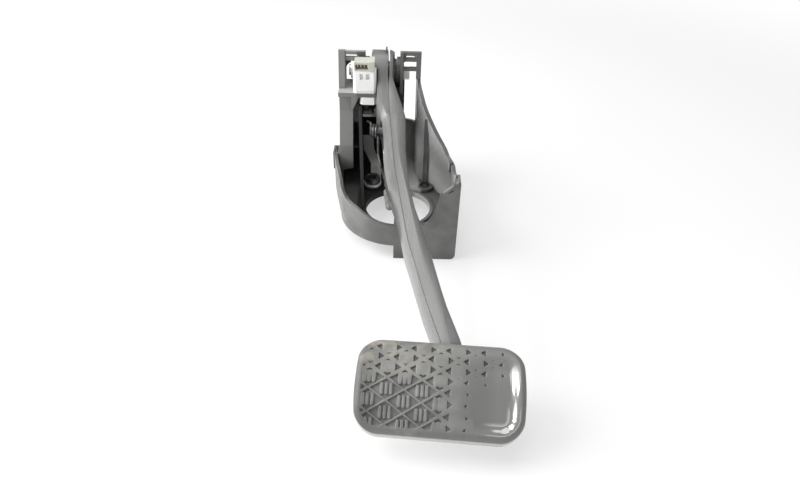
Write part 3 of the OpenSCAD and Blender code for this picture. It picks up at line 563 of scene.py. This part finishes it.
class PadShape:
    """The pad's own coordinates (u across, v up the face) and the relief of its face."""

    def __init__(self, own):
        self.own = own
        self.middle = Vector(PAD_MIDDLE)
        self.up = Vector((0, math.cos(own.tilt), math.sin(own.tilt)))
        self.out = Vector((0, -math.sin(own.tilt), math.cos(own.tilt)))

    def place(self, u, v, depth):
        """Where a point lies: u across, v up, depth below the curved face."""
        own = self.own
        across = u * math.cos(own.turn) - v * math.sin(own.turn)
        along = u * math.sin(own.turn) + v * math.cos(own.turn)
        radius = own.face_radius - depth
        drop = math.sqrt(max(radius * radius - along * along, 0.0)) - own.face_radius
        return self.middle + Vector((across, 0, 0)) + self.up * along + self.out * drop

    def half_width(self, v):
        own = self.own
        over = abs(v) - (own.height / 2 - own.corner_radius)
        side = own.width / 2 - own.bow * (2 * v / own.height) ** 2
        if over <= 0:
            return side
        return side - own.corner_radius + math.sqrt(max(own.corner_radius ** 2 - over ** 2, 0.0))

    def edge_distance(self, u, v):
        """Distance in from the outline."""
        own = self.own
        r = own.corner_radius
        qx = abs(u) + own.bow * (2 * v / own.height) ** 2 - (own.width / 2 - r)
        qy = abs(v) - (own.height / 2 - r)
        outside = math.hypot(max(qx, 0.0), max(qy, 0.0)) + min(max(qx, qy), 0.0) - r
        return -outside

    def tread_distance(self, u, v):
        """Distance from the nearest ridge or bar of the tread; negative on one."""
        half_w, half_h = self.own.diamond_width / 2, self.own.diamond_height / 2
        best = None
        for shift in (0.0, 1.0):
            a = (u - DIAMOND_U + shift * half_w + half_w) % (2 * half_w) - half_w
            b = (v - DIAMOND_V + shift * half_h + half_h) % (2 * half_h) - half_h
            inside = 1.0 - abs(a) / half_w - abs(b) / half_h
            if best is None or inside > best[0]:
                best = (inside, a, b)
        inside, a, b = best
        to_ridge = inside * half_w * half_h / math.hypot(half_w, half_h) - RIDGE_HALF_WIDTH
        nearest_bar = min(max(round(a / BAR_PITCH), -1), 1) * BAR_PITCH
        beside = max(abs(a - nearest_bar) - BAR_CORE_HALF_WIDTH, 0.0)
        beyond = max(abs(b) - BAR_HALF_LENGTH, 0.0)
        return min(to_ridge, math.hypot(beside, beyond) - BAR_ROUNDING)

    def dish(self, u, v, inside):
        """How far the face has sunk behind its right and lower rim, 0 to 1."""
        right = soft_step(0.010, 0.036, u) * soft_step(0.026, 0.012, v)
        low = soft_step(0.012, 0.019, -v) * 0.4
        return max(right, low) * soft_step(0.0038, 0.0108, inside)

    def pit(self, u, v, inside):
        """Tread: crisp at the lower left, worn down to pits along the top, gone at the right."""
        left_of_middle = 0.5 * soft_step(-0.014, 0.004, u)
        middle = 1.4 * soft_step(-0.006, 0.020, u)
        right = 0.9 * soft_step(0.014, 0.034, u)
        left_end = 0.4 * soft_step(-0.044, -0.050, u)
        low_wear = left_of_middle + middle + (right + left_end)
        top_wear = 1.05 + 0.2 * soft_step(0.0, 0.03, u) + 1.5 * soft_step(0.034, 0.046, u)
        towards_top = soft_step(-0.003, 0.012, v)
        limit = WEAR_REACH * (low_wear + (top_wear - low_wear) * towards_top)
        depth = soft_step(limit, limit + PIT_EDGE, self.tread_distance(u, v))
        return depth * soft_step(0.0040, 0.0060, inside)

    def relief(self, u, v, inside):
        """Depth of the face below its own curve."""
        own = self.own
        depth = own.rim_height * self.dish(u, v, inside)
        depth += own.tread_depth * self.pit(u, v, inside)
        if inside < PAD_ROUND_OVER:
            fall = math.sqrt(max(PAD_ROUND_OVER ** 2 - (PAD_ROUND_OVER - inside) ** 2, 0.0))
            depth += PAD_ROUND_OVER - fall
        return depth

    def dirt(self, u, v, inside):
        """Darker in the pits, more so towards the top."""
        return self.pit(u, v, inside) * (0.30 + 0.45 * soft_step(-0.003, 0.012, v))

    def polish(self, u, v, inside):
        """Where the edge of the dish is rubbed to a shine."""
        side = soft_step(0.024, 0.036, u) * soft_step(0.020, 0.006, v)
        band = soft_step(0.0030, 0.0050, inside) * soft_step(0.0130, 0.0095, inside)
        return side * band

    def painted_lip_highlight(self, u, v, inside):
        """Painted highlight on the outermost edge, along the foot of the pad and its lower left
        corner.
        """
        foot = soft_step(0.018, 0.027, -v)
        left = soft_step(0.040, 0.049, -u) * soft_step(0.006, 0.018, -v)
        return max(foot, left) * soft_step(0.0007, 0.0001, inside)

    def lay_ring(self, verts, depth, draw_in=0.0):
        """Lays a ring of vertices on the curve at that depth, drawn in from the outline."""
        own = self.own
        for vert in verts:
            off = vert.co - self.middle
            across, along = off.x, off.dot(self.up)
            u = across * math.cos(own.turn) + along * math.sin(own.turn)
            v = -across * math.sin(own.turn) + along * math.cos(own.turn)
            if draw_in:
                share_u = min(1.0, abs(u) / (own.width / 2 - own.corner_radius))
                share_v = min(1.0, abs(v) / (own.height / 2 - own.corner_radius))
                near_middle = soft_step(0.0, own.corner_radius, abs(u))
                u -= math.copysign(draw_in, u) * near_middle * share_u
                v -= math.copysign(draw_in, v) * share_v
            vert.co = self.place(u, v, depth)


class PEDAL_OT_pad(bpy.types.Operator):
    """Moulds the rubber pad with its worn tread and its raised rim"""
    bl_idname = "pedal.pad"
    bl_label = "Rubber pad"

    def execute(self, context):
        own = pad_settings()
        shape = PadShape(own)

        def build(bm):
            layer_of = {name: bm.verts.layers.float.new(name) for name in ("dirt", "lip", "polish")}
            made = bmesh.ops.create_grid(
                bm, x_segments=PAD_COLUMNS, y_segments=PAD_ROWS, size=1.0)
            for vert in made["verts"]:
                v = vert.co.y * own.height / 2
                u = vert.co.x * shape.half_width(v)
                inside = max(shape.edge_distance(u, v), 0.0)
                vert[layer_of["dirt"]] = shape.dirt(u, v, inside)
                vert[layer_of["polish"]] = shape.polish(u, v, inside)
                vert[layer_of["lip"]] = shape.painted_lip_highlight(u, v, inside)
                vert.co = shape.place(u, v, shape.relief(u, v, inside))
            ring, verts = drawn_out(bm, [e for e in bm.edges if e.is_boundary])
            # Out behind the face, and then exactly on the curve of the back
            side = PAD_THICKNESS - PAD_ROUND_OVER
            bmesh.ops.translate(bm, vec=-shape.out * side, verts=verts)
            shape.lay_ring(verts, PAD_THICKNESS)
            ring, verts = drawn_out(bm, ring)
            shape.lay_ring(verts, PAD_THICKNESS, draw_in=PAD_LIP)
            ring, verts = drawn_out(bm, ring)
            shape.lay_ring(verts, PAD_POCKET_FLOOR)
            bmesh.ops.holes_fill(bm, edges=ring, sides=0)
            bmesh.ops.recalc_face_normals(bm, faces=bm.faces)

        pad = new_piece("pad_face", build, "pedal_body", "pad_rubber")
        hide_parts("pad_rubber")
        return {"FINISHED"}


class PEDAL_OT_arm(bpy.types.Operator):
    """Rounds the edges of the two pressed halves of the arm"""
    bl_idname = "pedal.arm"
    bl_label = "Pressed arm"

    def execute(self, context):
        fold_angle = math.radians(28)
        edge_width = 0.0011
        edge_segments = 3
        for side in ("left", "right"):
            node = f"arm_{side}_shell"

            def build(bm, node=node):
                merged_copy(node, bm)
                bevel_edges(bm, sharp_edges(bm, fold_angle), edge_width, edge_segments)

            piece = new_piece(f"arm_{side}_pressing", build, "pedal_body", "arm_paint")
            piece.data.set_sharp_from_angle(angle=math.radians(40))
            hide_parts(node)
        return {"FINISHED"}


# The floor lies just under the bracket's feet
FLOOR_Z = -0.014
FLOOR_GAP = 0.0004
FLOOR_HALF = 4.0

# Strength of the world on the object; the background shows at 1
WORLD_LEVEL = 0.42

# Each lamp's name, place, target, size in metres and power in watts
LAMPS = (
    ("overhead", (-0.15, 0.15, 1.3), (0, -0.05, 0), (1.1, 0.9), 8.0),
    ("upper left", (-0.78, -0.15, 0.98), (0.03, -0.10, 0.05), (0.6, 0.4), 6.0),
    ("left window", (-0.95, -0.15, 0.50), (0.06, -0.22, 0.03), (1.25, 0.40), 12.0),
    ("front", (0.25, -1.2, 0.9), (0.02, -0.1, 0.05), (0.8, 0.5), 2.5),
)

# The camera's frame in millimetres, and its near limit in metres
SENSOR_WIDTH = 36.0
NEAR_LIMIT = 0.01


class PEDAL_OT_stage(bpy.types.Operator):
    """Sets the floor, the lights and the camera"""
    bl_idname = "pedal.stage"
    bl_label = "Stage"

    def execute(self, context):
        self.floor()
        self.world()
        for lamp in LAMPS:
            self.lamp(*lamp)
        self.camera()
        context.scene.view_settings.view_transform = "Standard"
        return {"FINISHED"}

    def floor(self):
        bm = bmesh.new()
        bmesh.ops.create_grid(bm, x_segments=1, y_segments=1, size=FLOOR_HALF)
        bmesh.ops.translate(bm, vec=(0, 0, FLOOR_Z - FLOOR_GAP), verts=bm.verts)
        mesh = bpy.data.meshes.new("floor")
        bm.to_mesh(mesh)
        bm.free()
        floor = bpy.data.objects.new("floor", mesh)
        bpy.context.scene.collection.objects.link(floor)
        mesh.materials.append(self.floor_finish())

    def floor_finish(self):
        """Pale, with the shadow kept near the pedal and plain white farther out."""
        f = Finish("pale floor")
        f.set(Base_Color=(0.86, 0.86, 0.86), Roughness=0.6, Specular_IOR_Level=0.2)
        glow = f.node("ShaderNodeEmission")
        path = f.node("ShaderNodeLightPath")
        away = f.node("ShaderNodeVectorMath", operation="LENGTH")
        f.link(f.object, away.inputs[0])
        share = f.span(away.outputs["Value"], 0.45, 1.1, 0.50, 1.0)
        seen = f.math("MAXIMUM", path.outputs["Is Camera Ray"], path.outputs["Is Glossy Ray"])
        blend = f.node("ShaderNodeMixShader")
        f.link(f.product(seen, share), blend.inputs["Fac"])
        f.link(f.shader.outputs["BSDF"], blend.inputs[1])
        f.link(glow.outputs["Emission"], blend.inputs[2])
        f.link(blend.outputs["Shader"], f.tree.nodes["Material Output"].inputs["Surface"])
        return f.material

    def world(self):
        world = bpy.data.worlds.new("studio")
        bpy.context.scene.world = world
        world.use_nodes = True
        tree = world.node_tree
        back = tree.nodes["Background"]
        path = tree.nodes.new("ShaderNodeLightPath")
        seen = tree.nodes.new("ShaderNodeMath")
        seen.operation = "MAXIMUM"
        tree.links.new(path.outputs["Is Camera Ray"], seen.inputs[0])
        tree.links.new(path.outputs["Is Transmission Ray"], seen.inputs[1])
        level = tree.nodes.new("ShaderNodeMapRange")
        level.inputs["To Min"].default_value = WORLD_LEVEL
        level.inputs["To Max"].default_value = 1.0
        tree.links.new(seen.outputs["Value"], level.inputs["Value"])
        tree.links.new(level.outputs["Result"], back.inputs["Strength"])
        back.inputs["Color"].default_value = (1, 1, 1, 1)

    def lamp(self, name, place, target, size, power):
        data = bpy.data.lights.new(name, "AREA")
        data.shape = "RECTANGLE"
        data.size, data.size_y = size
        data.energy = power
        lamp = bpy.data.objects.new(name, data)
        lamp.location = place
        aim = Vector(target) - Vector(place)
        lamp.rotation_euler = aim.to_track_quat("-Z", "Y").to_euler()
        bpy.context.scene.collection.objects.link(lamp)

    def camera(self):
        own = stage_settings()
        data = bpy.data.cameras.new("camera")
        data.lens = own.lens
        data.sensor_width = SENSOR_WIDTH
        data.clip_start = NEAR_LIMIT
        forward = Vector((0, math.cos(own.pitch), -math.sin(own.pitch)))
        up = Vector((0, math.sin(own.pitch), math.cos(own.pitch)))
        right = Vector((1, 0, 0))
        across = right * math.cos(own.roll) + up * math.sin(own.roll)
        upright = up * math.cos(own.roll) - right * math.sin(own.roll)
        matrix = Matrix((across, upright, -forward)).transposed().to_4x4()
        matrix.translation = Vector(own.place)
        camera = bpy.data.objects.new("camera", data)
        bpy.context.scene.collection.objects.link(camera)
        camera.matrix_world = matrix
        bpy.context.scene.camera = camera


OPERATORS = (PEDAL_OT_finishes, PEDAL_OT_pad, PEDAL_OT_arm, PEDAL_OT_stage)


class PEDAL_PT_panel(bpy.types.Panel):
    """Lists the steps and the settings"""
    bl_idname = "PEDAL_PT_panel"
    bl_label = "Brake pedal"
    bl_space_type = "VIEW_3D"
    bl_region_type = "UI"
    bl_category = "Pedal"

    def draw(self, context):
        for operator in OPERATORS:
            self.layout.operator(operator.bl_idname)
        for group in (pad_settings(), finish_settings(), stage_settings()):
            box = self.layout.box()
            for key in group.__annotations__:
                box.prop(group, key)


GROUPS = (PadSettings, FinishSettings, StageSettings)


def register():
    for cls in (*GROUPS, *OPERATORS, PEDAL_PT_panel):
        bpy.utils.register_class(cls)
    bpy.types.Scene.pedal_pad = PointerProperty(type=PadSettings)
    bpy.types.Scene.pedal_finish = PointerProperty(type=FinishSettings)
    bpy.types.Scene.pedal_stage = PointerProperty(type=StageSettings)


def unregister():
    del bpy.types.Scene.pedal_pad
    del bpy.types.Scene.pedal_finish
    del bpy.types.Scene.pedal_stage
    for cls in reversed((*GROUPS, *OPERATORS, PEDAL_PT_panel)):
        bpy.utils.unregister_class(cls)


def main():
    register()
    for operator in OPERATORS:
        group, step = operator.bl_idname.split(".")
        getattr(getattr(bpy.ops, group), step)()


if __name__ == "__main__":
    main()
